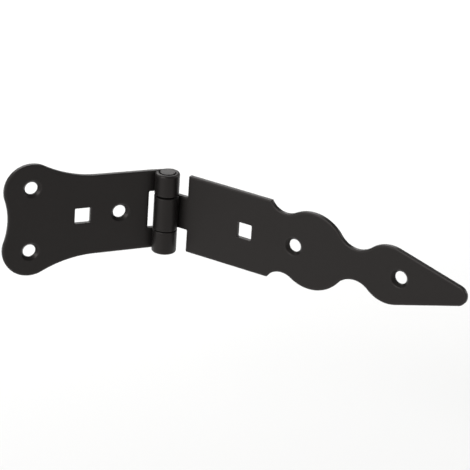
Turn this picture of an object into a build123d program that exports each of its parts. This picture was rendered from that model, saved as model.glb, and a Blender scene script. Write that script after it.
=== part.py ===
from build123d import *
import math
import os

# Strap hinge in black coated strip steel: a short fixed leaf, a long strap leaf and the pin
# they turn on. Millimetres and degrees. The origin is on the pin's axis at half height, +Z
# runs up the pin, the fixed leaf lies along -X and both leaves show their fronts to -Y.

strip_thickness = 2.0
fold_at_rest = 52.6  # how far the strap leaf is swung forward from lying flat

# Barrel of three knuckles rolled from the strips, and the pin in it
barrel_radius = 5.3
bore_radius = 3.3
pin_radius = 3.25
seam_gap = 0.3  # between a knuckle's rolled end and the front of its own leaf
upper_split = 8.4  # height where the upper knuckle starts
lower_split = 7.85  # depth below the centre line where the lower knuckle starts
middle_half_height = 7.5
middle_lift = 0.05  # the middle knuckle and its neck sit this much above the centre line
rim_height = 18.35  # ends of the outer knuckles, a little proud of the leaf
rim_radius = 3.9  # mouth of the small countersink round the pin's end
rim_depth = 0.6
rim_rounding = 0.7
joint_rounding = 0.3
pin_bottom = 19.0
pin_chamfer = 0.35

# Fixed leaf, distances from the pin's axis
fixed_width = 35.6  # at the pin
side_rise = 0.01  # its sides open out by this much for each millimetre of distance
slot_edge = 6.6
slot_half_height = 8.45
side_sweep_radius = 50.1  # long hollow curve that leads out to the lobes
lobe_distance = 59.05
lobe_height = 13.45
lobe_radius = 12.0
end_hollow_radius = 30.95
fixed_inner_screw = 19.35
fixed_square = 36.05
lobe_screw_distance = 58.95
lobe_screw_height = 14.35

# Strap leaf, distances from the pin's axis
strap_width = 35.0
upper_shoulder = 8.5
lower_shoulder = 8.85
neck_overlap = 1.0  # how far the neck runs on into the plate
strap_corner = 49.35
corner_hollow_radius = 8.5
round_distance = 69.95
round_radius = 17.25
neck_hollow_radius = 9.95
spear_distance = 107.3
spear_offset = 1.4  # how far past the centre line the spear's side arcs are struck
spear_radius = 14.35
tip_distance = 138.85
tip_radius = 4.45
strap_square = 37.25
strap_screws = (61.6, 112.35)

# Fixing holes
screw_hole_radius = 2.8
countersink_radius = 4.1
countersink_depth = 1.3
square_hole = 7.0
square_corner_radius = 0.5
front_edge_rounding = 0.5

plate_front = barrel_radius - strip_thickness


def touching_centre(centre_a, radius_a, centre_b, radius_b, radius):
    """Centre of an arc that touches two circles from outside, on the upper side."""
    across = centre_b[0] - centre_a[0]
    up = centre_b[1] - centre_a[1]
    apart = math.hypot(across, up)
    reach_a = radius + radius_a
    reach_b = radius + radius_b
    along = (reach_a ** 2 - reach_b ** 2 + apart ** 2) / (2 * apart)
    rise = math.sqrt(reach_a ** 2 - along ** 2)
    return (
        centre_a[0] + (along * across - rise * up) / apart,
        centre_a[1] + (along * up + rise * across) / apart,
    )


def direction(start, end):
    """Angle in degrees of the line from one point to another."""
    return math.degrees(math.atan2(end[1] - start[1], end[0] - start[0]))


def arc_between(centre, radius, start_angle, end_angle):
    """Arc that turns the short way from one angle to the other."""
    turn = (end_angle - start_angle + 180) % 360 - 180
    return CenterArc(centre, radius, start_angle, turn)


def mirrored_face(upper_edges, closing_edges):
    """Face from the upper half of an outline, its mirror below, and the edges that close it."""
    lower_edges = [edge.mirror(Plane.XZ) for edge in upper_edges]
    return make_face([*upper_edges, *lower_edges, *closing_edges])


def fixed_leaf_outline():
    """Two-lobed leaf: straight sides, long hollow sweep, lobes, and the hollow of its end."""
    lobe = (lobe_distance, lobe_height)
    root = Vector(0, fixed_width / 2)
    side = Vector(1, side_rise).normalized()
    outward = Vector(-side.Y, side.X)
    from_lobe = root + outward * side_sweep_radius - Vector(*lobe)
    along = from_lobe.dot(side)
    reach = side_sweep_radius + lobe_radius
    side_length = -along - math.sqrt(along ** 2 - from_lobe.dot(from_lobe) + reach ** 2)
    side_end = root + side * side_length
    centre = side_end + outward * side_sweep_radius
    sweep = (centre.X, centre.Y)
    end_reach = end_hollow_radius + lobe_radius
    hollow = (lobe_distance + math.sqrt(end_reach ** 2 - lobe_height ** 2), 0)
    lobe_start = direction(lobe, sweep)
    lobe_end = direction(lobe, hollow)
    upper = [
        Line((0, slot_half_height), root),
        Line(root, side_end),
        arc_between(sweep, side_sweep_radius, direction(sweep, (side_end.X, side_end.Y)),
                    direction(sweep, lobe)),
        CenterArc(lobe, lobe_radius, lobe_start, lobe_end - lobe_start),
        arc_between(hollow, end_hollow_radius, direction(hollow, lobe), 180),
    ]
    slot = [
        Line((0, slot_half_height), (slot_edge, slot_half_height)),
        Line((slot_edge, slot_half_height), (slot_edge, -slot_half_height)),
        Line((slot_edge, -slot_half_height), (0, -slot_half_height)),
    ]
    return mirrored_face(upper, slot)


def strap_leaf_outline():
    """Long leaf: wide plate, round lobe, hollow neck and a spear with a rounded tip."""
    half_width = strap_width / 2
    corner = (strap_corner, half_width)
    lobe = (round_distance, 0)
    spear = (spear_distance, -spear_offset)
    tip = (tip_distance, 0)
    first_hollow = touching_centre(corner, 0, lobe, round_radius, corner_hollow_radius)
    neck_hollow = touching_centre(lobe, round_radius, spear, spear_radius, neck_hollow_radius)
    lean = math.acos((spear_radius - tip_radius) / math.dist(spear, tip))
    side_angle = direction(spear, tip) + math.degrees(lean)
    side_start = Vector(*spear) + Vector(spear_radius, 0).rotate(Axis.Z, side_angle)
    side_end = Vector(*tip) + Vector(tip_radius, 0).rotate(Axis.Z, side_angle)
    upper = [
        arc_between(first_hollow, corner_hollow_radius, direction(first_hollow, corner),
                    direction(first_hollow, lobe)),
        arc_between(lobe, round_radius, direction(lobe, first_hollow), direction(lobe, neck_hollow)),
        arc_between(neck_hollow, neck_hollow_radius, direction(neck_hollow, lobe),
                    direction(neck_hollow, spear)),
        arc_between(spear, spear_radius, direction(spear, neck_hollow), side_angle),
        Line(side_start, side_end),
        arc_between(tip, tip_radius, side_angle, 0),
    ]
    shoulder = [
        Line(corner, (upper_shoulder, half_width)),
        Line((upper_shoulder, half_width), (lower_shoulder, -half_width)),
        Line((lower_shoulder, -half_width), (strap_corner, -half_width)),
    ]
    return mirrored_face(upper, shoulder)


def leaf_plane(side):
    """Plane on a leaf's front face; its x runs out from the pin and its z to the back."""
    if side < 0:
        return Plane(origin=(0, plate_front, 0), x_dir=(-1, 0, 0), z_dir=(0, 1, 0))
    return Plane(origin=(0, plate_front, 0), x_dir=(1, 0, 0), z_dir=(0, -1, 0))


def into_plate(side, shape):
    """Put a solid drawn in (distance, height, depth from the front face) into a leaf."""
    if side < 0:
        return leaf_plane(side) * shape
    return leaf_plane(side) * mirror(shape, about=Plane.XY)


def screw_hole(distance, height):
    """Countersunk screw hole, open at the front face."""
    narrow = Cylinder(screw_hole_radius, strip_thickness + 2,
                      align=(Align.CENTER, Align.CENTER, Align.MIN))
    slope = (countersink_radius - screw_hole_radius) / countersink_depth
    mouth = Cone(countersink_radius + slope, screw_hole_radius, countersink_depth + 1,
                 align=(Align.CENTER, Align.CENTER, Align.MIN))
    return Pos(distance, height, -1) * (narrow + mouth)


def bolt_hole(distance):
    """Square hole for the neck of a carriage bolt."""
    square = RectangleRounded(square_hole, square_hole, square_corner_radius)
    return Pos(distance, 0, -1) * extrude(square, strip_thickness + 2)


def pierced_plate(side, outline, holes):
    """Flat part of a leaf, with its front edges eased and its holes cut."""
    plate = extrude(outline, strip_thickness)
    front_edges = plate.faces().sort_by(Axis.Z)[0].edges().filter_by(
        lambda edge: edge.center().X > lower_shoulder + 1)
    plate = fillet(front_edges, front_edge_rounding)
    for hole in holes:
        plate -= hole
    return into_plate(side, plate)


def knuckle(side, profile):
    """Rolled knuckle: a turned ring, open along the seam in front of its own leaf."""
    ring = revolve(profile, Axis.Z)
    seam_angle = math.degrees(math.asin((plate_front - seam_gap) / barrel_radius))
    reach = 2 * barrel_radius
    rolled_end = (side * reach * math.cos(math.radians(seam_angle)),
                  reach * math.sin(math.radians(seam_angle)))
    wedge = Polygon((0, 0), rolled_end, (side * reach, reach), (0, reach), align=None)
    opening = extrude(Pos(0, 0, -2 * rim_height) * wedge, 4 * rim_height)
    return ring - opening


def outer_profile(split):
    """Half section of an outer knuckle that starts at a height and ends at the rim."""
    shoulder = rim_height - rim_rounding
    arc_middle = rim_rounding * math.sqrt(0.5)
    section = make_face([
        Line((bore_radius, split), (barrel_radius - joint_rounding, split)),
        Line((barrel_radius - joint_rounding, split),
             (barrel_radius, split + joint_rounding)),
        Line((barrel_radius, split + joint_rounding), (barrel_radius, shoulder)),
        ThreePointArc((barrel_radius, shoulder),
                      (barrel_radius - rim_rounding + arc_middle, shoulder + arc_middle),
                      (barrel_radius - rim_rounding, rim_height)),
        Line((barrel_radius - rim_rounding, rim_height), (rim_radius, rim_height)),
        Line((rim_radius, rim_height), (bore_radius, rim_height - rim_depth)),
        Line((bore_radius, rim_height - rim_depth), (bore_radius, split)),
    ])
    return Plane.XZ * section


def middle_profile():
    """Half section of the strap leaf's knuckle."""
    ease = barrel_radius - joint_rounding
    height = middle_half_height
    section = make_face(Polyline(
        (bore_radius, -height), (ease, -height), (barrel_radius, joint_rounding - height),
        (barrel_radius, height - joint_rounding), (ease, height), (bore_radius, height),
        close=True))
    return Plane.XZ * section


def fixed_leaf():
    """Short two-lobed leaf with the top and bottom knuckles."""
    holes = [
        screw_hole(fixed_inner_screw, 0),
        bolt_hole(fixed_square),
        screw_hole(lobe_screw_distance, lobe_screw_height),
        screw_hole(lobe_screw_distance, -lobe_screw_height),
    ]
    plate = pierced_plate(-1, fixed_leaf_outline(), holes)
    upper = knuckle(-1, outer_profile(upper_split))
    lower = mirror(knuckle(-1, outer_profile(lower_split)), about=Plane.XY)
    return plate + upper + lower


def strap_neck():
    """Tab that joins the strap leaf's plate to the middle knuckle."""
    length = lower_shoulder + neck_overlap
    tab = Box(length, 2 * middle_half_height, strip_thickness,
              align=(Align.MIN, Align.CENTER, Align.MIN))
    return into_plate(1, Pos(0, middle_lift, 0) * tab)


def strap_leaf():
    """Long spear-ended leaf with the middle knuckle, swung forward about the pin."""
    holes = [screw_hole(distance, 0) for distance in strap_screws]
    holes.append(bolt_hole(strap_square))
    plate = pierced_plate(1, strap_leaf_outline(), holes)
    ring = Pos(0, 0, middle_lift) * knuckle(1, middle_profile())
    return Rot(0, 0, -fold_at_rest) * (plate + strap_neck() + ring)


def hinge_pin():
    """Round pin: flush at the top, with its chamfered lower end a little proud."""
    section = make_face(Polyline(
        (0, -pin_bottom), (pin_radius - pin_chamfer, -pin_bottom),
        (pin_radius, pin_chamfer - pin_bottom), (pin_radius, rim_height),
        (0, rim_height), close=True))
    return revolve(Plane.XZ * section, Axis.Z)


os.makedirs("parts", exist_ok=True)
for name, maker in (("fixed_leaf", fixed_leaf), ("strap_leaf", strap_leaf), ("hinge_pin", hinge_pin)):
    solid = maker()
    export_step(solid, f"parts/{name}.step")
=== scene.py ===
import math
import bmesh
import bpy
from mathutils import Matrix, Vector


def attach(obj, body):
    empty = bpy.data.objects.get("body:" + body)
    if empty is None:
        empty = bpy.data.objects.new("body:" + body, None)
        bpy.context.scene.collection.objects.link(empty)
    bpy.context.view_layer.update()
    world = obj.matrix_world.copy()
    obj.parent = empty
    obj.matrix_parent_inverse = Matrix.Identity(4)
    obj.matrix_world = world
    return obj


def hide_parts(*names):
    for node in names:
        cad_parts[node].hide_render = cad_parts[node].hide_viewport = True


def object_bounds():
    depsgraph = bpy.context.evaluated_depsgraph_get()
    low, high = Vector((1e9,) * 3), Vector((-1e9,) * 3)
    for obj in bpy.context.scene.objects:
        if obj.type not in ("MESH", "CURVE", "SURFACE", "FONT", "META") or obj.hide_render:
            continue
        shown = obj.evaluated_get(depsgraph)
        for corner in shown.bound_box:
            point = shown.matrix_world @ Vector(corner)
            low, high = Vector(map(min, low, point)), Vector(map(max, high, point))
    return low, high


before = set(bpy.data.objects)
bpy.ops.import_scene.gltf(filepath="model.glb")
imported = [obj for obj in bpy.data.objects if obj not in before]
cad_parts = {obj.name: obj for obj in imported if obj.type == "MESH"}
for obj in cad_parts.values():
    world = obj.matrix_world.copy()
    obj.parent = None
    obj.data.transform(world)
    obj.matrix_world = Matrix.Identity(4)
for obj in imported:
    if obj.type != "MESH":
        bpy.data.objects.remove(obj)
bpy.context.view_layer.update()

mm = 0.001  # the leaves are laid out in millimetres, like a shop drawing
weldDistance = 0.0005
flatDistance = 0.0001  # how near a face's plane a point has to be to count as on it


# node sheets: sums on sockets are written as Python sums

class Wire:
    def __init__(self, sheet, socket):
        self.sheet = sheet
        self.socket = socket

    def sum(self, operation, first, second=None):
        node = self.sheet.tree.nodes.new("ShaderNodeMath")
        node.operation = operation
        self.sheet.plug(node.inputs[0], first)
        if second is not None:
            self.sheet.plug(node.inputs[1], second)
        return Wire(self.sheet, node.outputs[0])

    def __add__(self, other):
        return self.sum("ADD", self, other)

    def __radd__(self, other):
        return self.sum("ADD", other, self)

    def __sub__(self, other):
        return self.sum("SUBTRACT", self, other)

    def __rsub__(self, other):
        return self.sum("SUBTRACT", other, self)

    def __mul__(self, other):
        return self.sum("MULTIPLY", self, other)

    def __truediv__(self, other):
        return self.sum("DIVIDE", self, other)

    def __rtruediv__(self, other):
        return self.sum("DIVIDE", other, self)

    def sine(self):
        return self.sum("SINE", self)

    def cosine(self):
        return self.sum("COSINE", self)

    def atLeast(self, other):
        return self.sum("MAXIMUM", self, other)


class NodeSheet:
    def __init__(self, tree):
        self.tree = tree

    def plug(self, socket, value):
        if isinstance(value, Wire):
            self.tree.links.new(value.socket, socket)
        else:
            socket.default_value = value

    def add(self, kind, settings=None, sockets=None, out=0):
        node = self.tree.nodes.new(kind)
        for name, value in (settings or {}).items():
            setattr(node, name, value)
        for key, value in (sockets or {}).items():
            self.plug(node.inputs[key], value)
        return Wire(self, node.outputs[out]) if node.outputs else node


# outlines of the flat blanks: u runs out from the pin, z is height, millimetres

def arc(centre, radius, start, end, step=4.0):
    # points along an arc, turning the short way, angles in degrees
    turn = (end - start + 180) % 360 - 180
    count = max(2, round(abs(turn) / step))
    places = [math.radians(start + turn * i / count) for i in range(count + 1)]
    return [(centre[0] + radius * math.cos(a), centre[1] + radius * math.sin(a)) for a in places]


def heading(start, end):
    return math.degrees(math.atan2(end[1] - start[1], end[0] - start[0]))


def touchingCentre(first, firstRadius, second, secondRadius, radius):
    # centre of an arc that touches two circles from outside, on the upper side
    across, up = second[0] - first[0], second[1] - first[1]
    apart = math.hypot(across, up)
    along = ((radius + firstRadius) ** 2 - (radius + secondRadius) ** 2 + apart ** 2) / (2 * apart)
    rise = math.sqrt((radius + firstRadius) ** 2 - along ** 2)
    return (first[0] + (along * across - rise * up) / apart,
            first[1] + (along * up + rise * across) / apart)


def withSteps(points, longest=2.4):
    # closed outline with its long straight runs divided, and double points dropped
    result = []
    for here, there in zip(points, points[1:] + points[:1]):
        length = math.dist(here, there)
        if length < 0.001:
            continue
        count = max(1, math.ceil(length / longest))
        for i in range(count):
            spot = Vector(here).lerp(Vector(there), i / count)
            result.append((spot.x, spot.y))
    return result


# rims: an outline's edge as rings of points, from the back face round to the front face

class Rim:
    # keeps each point of an outline with the way it moves when the outline is drawn in
    sharpTurn = 14.0  # a larger turn, in degrees, is a corner and gets a small rounding
    leastEase = 0.02  # no edge is left knife sharp

    def __init__(self, points, corner, clear=1.5, cornerSteps=4):
        points = self.clearedNearCorners(points, clear)
        self.entries = []
        count = len(points)
        for i, point in enumerate(points):
            before, after = points[i - 1], points[(i + 1) % count]
            headIn, headOut = heading(before, point), heading(point, after)
            turn = (headOut - headIn + 180) % 360 - 180
            normals = [self.inward(headIn), self.inward(headOut)]
            mitre = (normals[0] + normals[1]) / (1 + normals[0].dot(normals[1]))
            place = Vector(point)
            if abs(turn) < self.sharpTurn:
                self.entries.append((place, mitre, None, 0))
                continue
            for k in range(cornerSteps + 1):
                normal = self.inward(headIn + turn * k / cornerSteps)
                self.entries.append((place, mitre, normal, math.copysign(corner, turn)))

    def inward(self, angle):
        return Vector((-math.sin(math.radians(angle)), math.cos(math.radians(angle))))

    def clearedNearCorners(self, points, clear):
        # points close to an outer corner would cross over when the outline is drawn in
        count = len(points)
        corners = []
        for i, point in enumerate(points):
            headIn, headOut = heading(points[i - 1], point), heading(point, points[(i + 1) % count])
            turn = (headOut - headIn + 180) % 360 - 180
            if abs(turn) >= self.sharpTurn:
                corners.append(point)
        return [p for p in points if p in corners or all(math.dist(p, c) > clear for c in corners)]

    def at(self, index, drawIn):
        # where one point lies once the outline is drawn in by a distance
        place, mitre, normal, corner = self.entries[index]
        if normal is None:
            return place + mitre * drawIn
        if corner < 0:  # an inner corner opens up as it is drawn in
            return place + mitre * corner + normal * (drawIn - corner)
        if drawIn < corner:
            return place + mitre * corner - normal * (corner - drawIn)
        return place + mitre * drawIn

    def steps(self, frontEase, backEase, spread, thickness, count=6, hold=0.35):
        # one point's path over the edge: (drawn in, depth from the front face, how bare the coat is)
        backEase, frontEase = max(backEase, self.leastEase), max(frontEase, self.leastEase)
        path = [(backEase + hold, thickness, 0.0)]
        for k in range(count + 1):
            a = math.radians(90 * k / count)
            path.append((backEase * (1 - math.sin(a)), thickness - backEase * (1 - math.cos(a)), 0.6))
        for k in range(count + 1):
            a = math.radians(90 * k / count)
            drawIn, depth = frontEase * spread * (1 - math.cos(a)), frontEase * (1 - math.sin(a))
            path.append((drawIn, depth, math.sin(2 * a)))
        path.append((frontEase * spread + hold, 0.0, 0.0))
        return path


def addRings(bm, rings, bareLayer):
    # joins rings of (u, depth, z, bare) points with faces
    made = []
    for ring in rings:
        row = []
        for u, depth, z, bare in ring:
            vert = bm.verts.new((u, depth, z))
            vert[bareLayer] = bare
            row.append(vert)
        made.append(row)
    count = len(made[0])
    for low, high in zip(made, made[1:]):
        for i in range(count):
            j = (i + 1) % count
            bm.faces.new((low[i], low[j], high[j], high[i]))


def addRim(bm, points, easeAt, thickness, corner, bareLayer, clear=1.5):
    rim = Rim(points, corner, clear)
    columns = []
    for i, entry in enumerate(rim.entries):
        frontEase, backEase, spread = easeAt(entry[0].x, entry[0].y)
        column = []
        for drawIn, depth, bare in rim.steps(frontEase, backEase, spread, thickness):
            place = rim.at(i, drawIn)
            column.append((place.x, depth, place.y, bare))
        columns.append(column)
    addRings(bm, list(zip(*columns)), bareLayer)


def addScrewHole(bm, u, z, hole, thickness, bareLayer):
    # countersunk hole with softly coated lips, back face first
    slope = (hole["mouth"] - hole["radius"]) / hole["depth"]
    lip, throat = hole["lip"], hole["throat"]
    section = [
        (hole["radius"] + throat + hole["hold"], thickness, 0.0),
        (hole["radius"] + throat, thickness, 0.2),
        (hole["radius"] + throat * 0.3, thickness - throat * 0.3, 0.6),
        (hole["radius"], thickness - throat, 0.2),
        (hole["radius"], hole["depth"] + throat * 0.7, 0.2),
        (hole["radius"] + throat * 0.2, hole["depth"] + throat * 0.1, 0.4),
        (hole["radius"] + throat * 0.7 * slope, hole["depth"] - throat * 0.7, 0.2),
        (hole["mouth"] - lip * 0.75 * slope, lip * 0.75, 0.1),
        (hole["mouth"] - lip * 0.25 * slope, lip * 0.33, 0.5),
        (hole["mouth"] + lip * 0.35, lip * 0.09, 0.8),
        (hole["mouth"] + lip, 0.0, 0.3),
        (hole["mouth"] + lip + hole["hold"], 0.0, 0.0),
    ]
    count = hole["facets"]
    rings = []
    for radius, depth, bare in section:
        ring = []
        for i in range(count):
            a = -2 * math.pi * i / count  # clockwise, so that the metal is on the left
            ring.append((u + radius * math.cos(a), depth, z + radius * math.sin(a), bare))
        rings.append(ring)
    addRings(bm, rings, bareLayer)


def fillFace(bm, depth, towards):
    # one flat face between the rims of the outline and of the holes
    edges = []
    for edge in bm.edges:
        flat = all(abs(vert.co.y - depth) < flatDistance for vert in edge.verts)
        if flat and len(edge.link_faces) == 1:
            edges.append(edge)
    bmesh.ops.triangle_fill(bm, edges=edges, use_beauty=True, normal=towards)


def cutAcross(bm, places, axis):
    # scores the whole blank at each place along an axis, so that it can bend there
    for place in places:
        point, normal = [0, 0, 0], [0, 0, 0]
        point[axis], normal[axis] = place, 1
        geometry = bm.verts[:] + bm.edges[:] + bm.faces[:]
        bmesh.ops.bisect_plane(bm, geom=geometry, dist=flatDistance, plane_co=point, plane_no=normal)


def boltHoleEase(u, z):
    return boltHole["frontEase"], boltHole["backEase"], boltHole["spread"]


def makeBlank(name, outline, easeAt, liftAt, leaf):
    # the stamped strip, flat, before its knuckles are rolled
    bm = bmesh.new()
    bare = bm.verts.layers.float.new("bareCoat")
    lift = bm.verts.layers.float.new("endLift")
    thickness = strip["thickness"]
    addRim(bm, outline, easeAt, thickness, leaf["corner"], bare)
    half = boltHole["side"] / 2
    for place in leaf["bolts"]:
        square = [(place - half, -half), (place - half, half), (place + half, half), (place + half, -half)]
        square = withSteps(square, boltHole["step"])
        addRim(bm, square, boltHoleEase, thickness, boltHole["corner"], bare, boltHole["clear"])
    for u, z in leaf["screws"]:
        addScrewHole(bm, u, z, screwHole, thickness, bare)
    bmesh.ops.remove_doubles(bm, verts=bm.verts[:], dist=weldDistance)
    fillFace(bm, thickness, (0, 1, 0))
    fillFace(bm, 0.0, (0, -1, 0))
    low, high = min(v.co.x for v in bm.verts), max(v.co.x for v in bm.verts)
    top = max(v.co.z for v in bm.verts)
    rollStep = strip["rollStep"]
    cutAcross(bm, [low + rollStep * i for i in range(1, int(-low / rollStep) + 3)], 0)
    cutAcross(bm, [strip["gridStep"] * i for i in range(1, int(high / strip["gridStep"]) + 1)], 0)
    rows = int(top / strip["gridStep"])
    cutAcross(bm, [strip["gridStep"] * i for i in range(-rows, rows + 1)], 2)
    for vert in bm.verts:
        vert[lift] = liftAt(vert.co.x, vert.co.z)
    bmesh.ops.recalc_face_normals(bm, faces=bm.faces[:])
    mesh = bpy.data.meshes.new(name)
    bm.to_mesh(mesh)
    bm.free()
    blank = bpy.data.objects.new(name, mesh)
    bpy.context.scene.collection.objects.link(blank)
    print("blank", name, len(mesh.polygons), "faces")
    return blank


# rolling: a Geometry Nodes tree wraps the blank's tabs round the pin

def makeRollTree(material):
    tree = bpy.data.node_groups.new("rollKnuckles", "GeometryNodeTree")
    face = tree.interface
    face.new_socket("Blank", in_out="INPUT", socket_type="NodeSocketGeometry")
    for label in ("Barrel Radius", "Strip Thickness", "End Pinch", "Wave Depth", "Wave Spacing"):
        face.new_socket(label, in_out="INPUT", socket_type="NodeSocketFloat")
    face.new_socket("Leaf", in_out="OUTPUT", socket_type="NodeSocketGeometry")
    sheet = NodeSheet(tree)
    entry = tree.nodes.new("NodeGroupInput")
    given = {socket.name: Wire(sheet, socket) for socket in entry.outputs}
    axes = tree.nodes.new("ShaderNodeSeparateXYZ")
    sheet.plug(axes.inputs[0], sheet.add("GeometryNodeInputPosition"))
    along, depth, height = [Wire(sheet, socket) for socket in axes.outputs]
    liftNode = sheet.add("GeometryNodeInputNamedAttribute", {"data_type": "FLOAT"}, {"Name": "endLift"})
    thickness = given["Strip Thickness"]
    inner = given["Barrel Radius"] - thickness
    rolled = (0 - along).atLeast(0.0)  # length of strip already past the top of the barrel
    angle = rolled / (inner + thickness * 0.5)
    swell = sheet.add("ShaderNodeTexNoise", {"noise_dimensions": "3D"},
                      {"Scale": 1 / given["Wave Spacing"], "Detail": wave["detail"],
                       "Roughness": wave["roughness"]})
    dent = (swell - 0.5) * given["Wave Depth"] * (1 - depth / thickness)
    reach = inner + depth + dent
    acrossOut = along.atLeast(0.0) - angle.sine() * reach
    backOut = angle.cosine() * reach
    upOut = height + liftNode * (1 - given["End Pinch"] * (depth / thickness))
    place = sheet.add("ShaderNodeCombineXYZ", None, {0: acrossOut, 1: backOut, 2: upOut})
    moved = sheet.add("GeometryNodeSetPosition", None, {"Geometry": given["Blank"], "Position": place})
    smooth = sheet.add("GeometryNodeSetShadeSmooth", None, {"Geometry": moved, "Shade Smooth": True})
    real = sheet.add("GeometryNodeRealizeInstances", None, {"Geometry": smooth})
    coated = sheet.add("GeometryNodeSetMaterial", None, {"Geometry": real, "Material": material})
    leave = tree.nodes.new("NodeGroupOutput")
    sheet.plug(leave.inputs[0], coated)
    return tree


def throughTree(blank, tree, values):
    # runs a tree on a piece and leaves it as a plain mesh
    modifier = blank.modifiers.new("shape", "NODES")
    modifier.node_group = tree
    for item in tree.interface.items_tree:
        if item.item_type == "SOCKET" and item.in_out == "INPUT" and item.name in values:
            modifier[item.identifier] = values[item.name]
    bpy.context.view_layer.update()
    evaluated = blank.evaluated_get(bpy.context.evaluated_depsgraph_get())
    mesh = bpy.data.meshes.new_from_object(evaluated)
    blank.modifiers.clear()
    old = blank.data
    blank.data = mesh
    bpy.data.meshes.remove(old)


def setInPlace(piece, matrix):
    # moves the mesh, not the object, and turns the faces out again after a mirror
    piece.data.transform(matrix)
    if matrix.determinant() < 0:
        piece.data.flip_normals()
    piece.data.update()


def hand(piece, body, node):
    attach(piece, body)
    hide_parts(node)


# the coat

coat = {
    "colour": (0.0066, 0.0058, 0.0055),
    "bareColour": (0.016, 0.0148, 0.0142),
    "roughness": 0.40,
    "specular": 0.31,
    "tint": (1.0, 0.93, 0.90, 1.0),
    "peelSize": 0.9 * mm,
    "peelDetail": 1.5,
    "peelShare": 0.8,
    "grainSize": 0.16 * mm,
    "grainDetail": 2.0,
    "grainShare": 0.2,
    "cloudSize": 16 * mm,
    "cloudDetail": 4.0,
    "reliefStrength": 0.35,
    "reliefDepth": 0.05 * mm,
    "cloudGloss": 0.12,
    "grainGloss": 0.08,
    "bareGloss": 0.03,
}


def makeNoise(sheet, place, size, detail):
    sockets = {"Vector": place, "Scale": 1 / size, "Detail": detail}
    return sheet.add("ShaderNodeTexNoise", None, sockets)


def makeCoat():
    material = bpy.data.materials.new("blackPowderCoat")
    material.use_nodes = True
    tree = material.node_tree
    tree.nodes.clear()
    sheet = NodeSheet(tree)
    place = sheet.add("ShaderNodeTexCoord", out=3)
    peel = makeNoise(sheet, place, coat["peelSize"], coat["peelDetail"])
    grain = makeNoise(sheet, place, coat["grainSize"], coat["grainDetail"])
    cloud = makeNoise(sheet, place, coat["cloudSize"], coat["cloudDetail"])
    bare = sheet.add("ShaderNodeAttribute", {"attribute_name": "bareCoat"}, out=2)
    thin = sheet.add("ShaderNodeMix", {"data_type": "RGBA"},
                     {0: bare * (0.5 + cloud), 6: (*coat["colour"], 1), 7: (*coat["bareColour"], 1)}, out=2)
    relief = peel * coat["peelShare"] + grain * coat["grainShare"]
    bump = sheet.add("ShaderNodeBump", None,
                     {"Strength": coat["reliefStrength"], "Distance": coat["reliefDepth"], "Height": relief})
    rough = coat["roughness"] + (cloud - 0.5) * coat["cloudGloss"]
    rough = rough + (grain - 0.5) * coat["grainGloss"] + bare * coat["bareGloss"]
    shader = tree.nodes.new("ShaderNodeBsdfPrincipled")
    shader.inputs["Specular IOR Level"].default_value = coat["specular"]
    shader.inputs["Specular Tint"].default_value = coat["tint"]
    sheet.plug(shader.inputs["Base Color"], thin)
    sheet.plug(shader.inputs["Roughness"], rough)
    sheet.plug(shader.inputs["Normal"], bump)
    leave = tree.nodes.new("ShaderNodeOutputMaterial")
    tree.links.new(shader.outputs[0], leave.inputs[0])
    return material


# strip, holes and barrel, shared by both leaves

strip = {"thickness": 2.0, "rollStep": 0.375, "gridStep": 2.5}
barrel = {"radius": 5.3, "seamGap": 0.3, "endPinch": 0.5, "topLift": 0.55,
          "liftFrom": -2.0, "liftTo": 5.0}
wave = {"depth": 0.05, "spacing": 14.0, "detail": 1.0, "roughness": 0.4}
edge = {"front": 0.4, "spread": 2.6, "back": 0.2, "slot": 0.4, "rampFrom": -1.0, "rampTo": 6.0}
knuckleEdge = {"topInner": 1.1, "topOuter": 0.85, "bottomInner": 0.4, "bottomOuter": 0.5,
               "jointInner": 0.12, "jointOuter": 0.3}
screwHole = {"radius": 2.8, "mouth": 4.1, "depth": 1.3, "lip": 0.3, "throat": 0.12, "hold": 0.4,
             "facets": 72}
boltHole = {"side": 7.0, "corner": 0.45, "frontEase": 0.3, "backEase": 0.12, "spread": 1.3,
            "step": 1.2, "clear": 0.6}

plateFront = barrel["radius"] - strip["thickness"]
seamAngle = math.asin((plateFront - barrel["seamGap"]) / barrel["radius"])
midStrip = barrel["radius"] - strip["thickness"] / 2  # radius of the middle of the rolled strip
tabLength = (1.5 * math.pi + seamAngle) * midStrip


def ramp(value, start, end):
    share = min(1.0, max(0.0, (value - start) / (end - start)))
    return share * share * (3 - 2 * share)


coatMaterial = makeCoat()
rollTree = makeRollTree(coatMaterial)
rollInputs = {
    "Barrel Radius": barrel["radius"],
    "Strip Thickness": strip["thickness"],
    "End Pinch": barrel["endPinch"],
    "Wave Depth": wave["depth"],
    "Wave Spacing": wave["spacing"],
}


# fixed leaf

fixedLeaf = {
    "width": 35.6, "sideRise": 0.01, "slotEdge": 6.6, "slotHalf": 8.45, "splits": (8.4, 7.85), "corner": 0.45,
    "sweepRadius": 50.1, "lobe": (59.05, 13.45), "lobeRadius": 11.99, "endRadius": 30.95,
    "screws": ((19.35, 0.0), (58.95, 14.35), (58.95, -14.35)), "bolts": (36.05,),
}


def tabOutline(leaf, split, tall):
    # upper slot edge, the step to the knuckle, and the blank tab that is rolled into it
    slot = leaf["slotHalf"]
    return [(leaf["slotEdge"], slot), (0.0, slot), (0.0, split), (-tabLength, split), (-tabLength, tall)]


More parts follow.
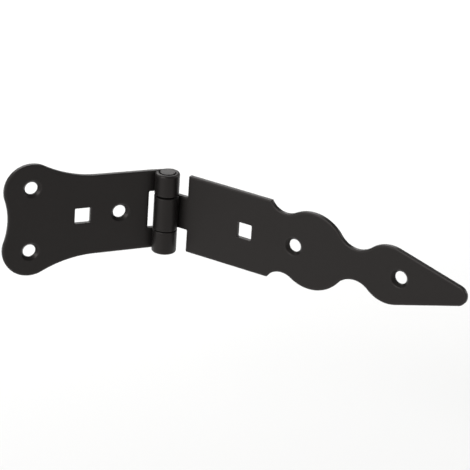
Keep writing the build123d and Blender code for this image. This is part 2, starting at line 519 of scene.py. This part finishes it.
def fixedLeafOutline(leaf):
    lobe, radius, tall = leaf["lobe"], leaf["lobeRadius"], leaf["width"] / 2
    lean = math.atan(leaf["sideRise"])
    side, outward = Vector((math.cos(lean), math.sin(lean))), Vector((-math.sin(lean), math.cos(lean)))
    fromLobe = Vector((0, tall)) + outward * leaf["sweepRadius"] - Vector(lobe)
    along = fromLobe.dot(side)
    reach = leaf["sweepRadius"] + radius
    run = -along - math.sqrt(along ** 2 - fromLobe.length_squared + reach ** 2)
    sweep = tuple(Vector(lobe) + fromLobe + side * run)
    hollow = (lobe[0] + math.sqrt((leaf["endRadius"] + radius) ** 2 - lobe[1] ** 2), 0.0)
    start, end = heading(lobe, sweep), heading(lobe, hollow)
    middle = (start + end) / 2
    upper = [(0.0, tall)]
    upper += arc(sweep, leaf["sweepRadius"], math.degrees(lean) - 90, heading(sweep, lobe), 1.5)
    upper += arc(lobe, radius, start, middle, 3) + arc(lobe, radius, middle, end, 3)
    upper += arc(hollow, leaf["endRadius"], heading(hollow, lobe), 180, 1.5)
    upperTab, lowerTab = [tabOutline(leaf, split, tall) for split in leaf["splits"]]
    lower = [(u, -z) for u, z in lowerTab + upper]
    return withSteps(lower + (upperTab + upper)[::-1])


def fixedLeafEase(u, z):
    onPlate = ramp(u, edge["rampFrom"], edge["rampTo"])
    if abs(z) < (fixedLeaf["slotHalf"] + fixedLeaf["width"] / 2) / 2:
        inner, outer, front = knuckleEdge["jointInner"], knuckleEdge["jointOuter"], edge["slot"]
    elif z > 0:
        inner, outer, front = knuckleEdge["topInner"], knuckleEdge["topOuter"], edge["front"]
    else:
        inner, outer, front = knuckleEdge["bottomInner"], knuckleEdge["bottomOuter"], edge["front"]
    spread = 1 + (edge["spread"] - 1) * onPlate
    return inner + (front - inner) * onPlate, outer + (edge["back"] - outer) * onPlate, spread


def fixedLeafLift(u, z):
    # the knuckles' outer ends stand a little proud of the leaf
    share = (abs(z) - fixedLeaf["slotHalf"]) / (fixedLeaf["width"] / 2 - fixedLeaf["slotHalf"])
    rolledIn = ramp(-u, barrel["liftFrom"], barrel["liftTo"])
    return math.copysign(1, z) * barrel["topLift"] * max(0.0, share) * rolledIn


fixed = makeBlank("fixedLeaf", fixedLeafOutline(fixedLeaf), fixedLeafEase, fixedLeafLift,
                  fixedLeaf)
throughTree(fixed, rollTree, rollInputs)
setInPlace(fixed, Matrix.Diagonal((-mm, mm, mm, 1)))
hand(fixed, "fixed_side", "fixed_leaf")


# strap leaf

strapLeaf = {
    "width": 35.0, "shoulders": (8.5, 8.85), "knuckleHalf": 7.5, "knuckleLift": 0.05, "corner": 0.45,
    "cornerAt": 49.35, "cornerHollow": 8.5, "round": (69.95, 0.0), "roundRadius": 17.25,
    "neckHollow": 9.95, "spear": (107.3, -1.4), "spearRadius": 14.35, "tip": (138.85, 0.0),
    "tipRadius": 4.45, "screws": ((61.6, 0.0), (112.35, 0.0)), "bolts": (37.25,), "fold": 52.6,
}


def strapLeafOutline(leaf):
    corner = (leaf["cornerAt"], leaf["width"] / 2)
    disc, spear, tip = leaf["round"], leaf["spear"], leaf["tip"]
    first = touchingCentre(corner, 0, disc, leaf["roundRadius"], leaf["cornerHollow"])
    neck = touchingCentre(disc, leaf["roundRadius"], spear, leaf["spearRadius"], leaf["neckHollow"])
    lean = math.degrees(math.acos((leaf["spearRadius"] - leaf["tipRadius"]) / math.dist(spear, tip)))
    side = heading(spear, tip) + lean
    upper = arc(first, leaf["cornerHollow"], heading(first, corner), heading(first, disc))
    upper += arc(disc, leaf["roundRadius"], heading(disc, first), heading(disc, neck), 3)
    upper += arc(neck, leaf["neckHollow"], heading(neck, disc), heading(neck, spear))
    upper += arc(spear, leaf["spearRadius"], heading(spear, neck), side, 3)
    upper += arc(tip, leaf["tipRadius"], side, 0, 6)
    lower = [(u, -z) for u, z in upper]
    low, high = [leaf["knuckleLift"] + way * leaf["knuckleHalf"] for way in (-1, 1)]
    top, bottom = leaf["shoulders"]
    tab = [(top, corner[1]), (top, high), (-tabLength, high), (-tabLength, low), (bottom, low)]
    return withSteps([(bottom, -corner[1])] + lower + upper[::-1] + tab)


def strapLeafEase(u, z):
    onPlate = ramp(u, edge["rampFrom"], edge["rampTo"])
    inner, outer = knuckleEdge["jointInner"], knuckleEdge["jointOuter"]
    spread = 1 + (edge["spread"] - 1) * onPlate
    return inner + (edge["front"] - inner) * onPlate, outer + (edge["back"] - outer) * onPlate, spread


def strapLeafLift(u, z):
    # the middle knuckle is cut to length between the outer two, so nothing stands proud
    return 0.0


strap = makeBlank("strapLeaf", strapLeafOutline(strapLeaf), strapLeafEase, strapLeafLift,
                  strapLeaf)
throughTree(strap, rollTree, rollInputs)
swing = Matrix.Rotation(-math.radians(strapLeaf["fold"]), 4, "Z")
setInPlace(strap, swing @ Matrix.Diagonal((mm, mm, mm, 1)))
hand(strap, "strap_side", "strap_leaf")


# pin

pin = {"radius": 3.25, "top": 18.35, "bottom": 19.0, "ease": 0.14, "chamfer": 0.35, "facets": 64}


def pinSection():
    # half section from the bottom up: (radius, height, how bare the coat is)
    radius, top, bottom, ease = pin["radius"], pin["top"], -pin["bottom"], pin["ease"]
    flat = radius - pin["chamfer"]
    return [
        (0.0, bottom, 0.0),
        (flat - ease * 4, bottom, 0.0),
        (flat - ease, bottom, 0.2),
        (flat + ease * 0.4, bottom + ease * 0.4, 0.9),
        (radius - ease * 0.4, bottom + pin["chamfer"] - ease * 0.4, 0.9),
        (radius, bottom + pin["chamfer"] + ease, 0.2),
        (radius, 0.0, 0.0),
        (radius, top - ease * 3, 0.0),
        (radius, top - ease, 0.5),
        (radius - ease * 0.3, top - ease * 0.3, 1.0),
        (radius - ease, top, 0.5),
        (radius - ease * 3, top - ease * 0.1, 0.1),
        (radius * 0.4, top - ease * 0.3, 0.0),
        (0.0, top - ease * 0.3, 0.0),
    ]


def makePin():
    bm = bmesh.new()
    bare = bm.verts.layers.float.new("bareCoat")
    count = pin["facets"]
    rings = []
    for radius, z, bareness in pinSection():
        ring = []
        for i in range(count):
            a = 2 * math.pi * i / count
            ring.append((radius * math.cos(a), radius * math.sin(a), z, bareness))
        rings.append(ring)
    addRings(bm, rings, bare)
    bmesh.ops.remove_doubles(bm, verts=bm.verts[:], dist=weldDistance)
    bmesh.ops.recalc_face_normals(bm, faces=bm.faces[:])
    for face in bm.faces:
        face.smooth = True
    mesh = bpy.data.meshes.new("hingePin")
    bm.to_mesh(mesh)
    bm.free()
    mesh.materials.append(coatMaterial)
    piece = bpy.data.objects.new("hingePin", mesh)
    bpy.context.scene.collection.objects.link(piece)
    setInPlace(piece, Matrix.Diagonal((mm, mm, mm, 1)))
    return piece


pinPiece = makePin()
hand(pinPiece, "fixed_side", "hinge_pin")
print("pieces made")


# floor, light and camera

studio = {"floorDrop": 0.13, "floorSize": 6.0, "floorColour": (0.9, 0.9, 0.895),
          "floorRoughness": 0.9, "floorSpecular": 0.1, "worldStrength": 0.3}


def makeFloor():
    low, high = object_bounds()
    mesh = bpy.data.meshes.new("floor")
    half, z = studio["floorSize"] / 2, low[2] - studio["floorDrop"]
    corners = [(-half, -half, z), (half, -half, z), (half, half, z), (-half, half, z)]
    mesh.from_pydata(corners, [], [(0, 1, 2, 3)])
    floor = bpy.data.objects.new("floor", mesh)
    bpy.context.scene.collection.objects.link(floor)
    material = bpy.data.materials.new("palePaper")
    material.use_nodes = True
    shader = material.node_tree.nodes["Principled BSDF"]
    shader.inputs["Base Color"].default_value = (*studio["floorColour"], 1)
    shader.inputs["Roughness"].default_value = studio["floorRoughness"]
    shader.inputs["Specular IOR Level"].default_value = studio["floorSpecular"]
    mesh.materials.append(material)


softboxes = {
    "backBox": {"place": (-0.08, 1.08, 1.04), "size": (1.8, 0.9), "radiance": 4.2},
    "leftBox": {"place": (-2.2, -1.1, 1.05), "size": (1.5, 1.5), "radiance": 5.5},
    "rightBox": {"place": (1.3, -0.1, 0.38), "size": (0.5, 0.5), "radiance": 4.0},
}


def makeSoftbox(name, place, size, radiance):
    # a soft rectangular lamp that faces the pin
    light = bpy.data.lights.new(name, "AREA")
    light.shape = "RECTANGLE"
    light.size, light.size_y = size
    light.energy = radiance * math.pi * size[0] * size[1]
    lamp = bpy.data.objects.new(name, light)
    bpy.context.scene.collection.objects.link(lamp)
    lamp.location = place
    lamp.rotation_euler = (-Vector(place)).to_track_quat("-Z", "Y").to_euler()
    lamp.visible_camera = False


def makeWorld():
    world = bpy.data.worlds.new("studio")
    bpy.context.scene.world = world
    world.use_nodes = True
    world.node_tree.nodes["Background"].inputs[0].default_value = (1, 1, 1, 1)
    world.node_tree.nodes["Background"].inputs[1].default_value = studio["worldStrength"]


camera = {"aim": (0.027027, -0.013596, -0.007869), "distance": 1.28, "azimuth": 22.193,
          "elevation": 23.740, "roll": 3.681, "lens": 229.589, "sensor": 36.0, "clip": (0.05, 30)}


def makeCamera():
    data = bpy.data.cameras.new("camera")
    data.sensor_fit = "HORIZONTAL"
    data.sensor_width = camera["sensor"]
    data.lens = camera["lens"]
    data.clip_start, data.clip_end = camera["clip"]
    eye = bpy.data.objects.new("camera", data)
    bpy.context.scene.collection.objects.link(eye)
    turn = Matrix.Rotation(-math.radians(camera["azimuth"]), 4, "Z")
    tilt = Matrix.Rotation(math.radians(90 - camera["elevation"]), 4, "X")
    roll = Matrix.Rotation(math.radians(camera["roll"]), 4, "Z")
    back = Matrix.Translation((0, 0, camera["distance"]))
    eye.matrix_world = Matrix.Translation(camera["aim"]) @ turn @ tilt @ roll @ back
    bpy.context.scene.camera = eye


makeFloor()
makeWorld()
for name, box in softboxes.items():
    makeSoftbox(name, box["place"], box["size"], box["radiance"])
makeCamera()
bpy.context.scene.view_settings.view_transform = "Standard"
print("studio ready")
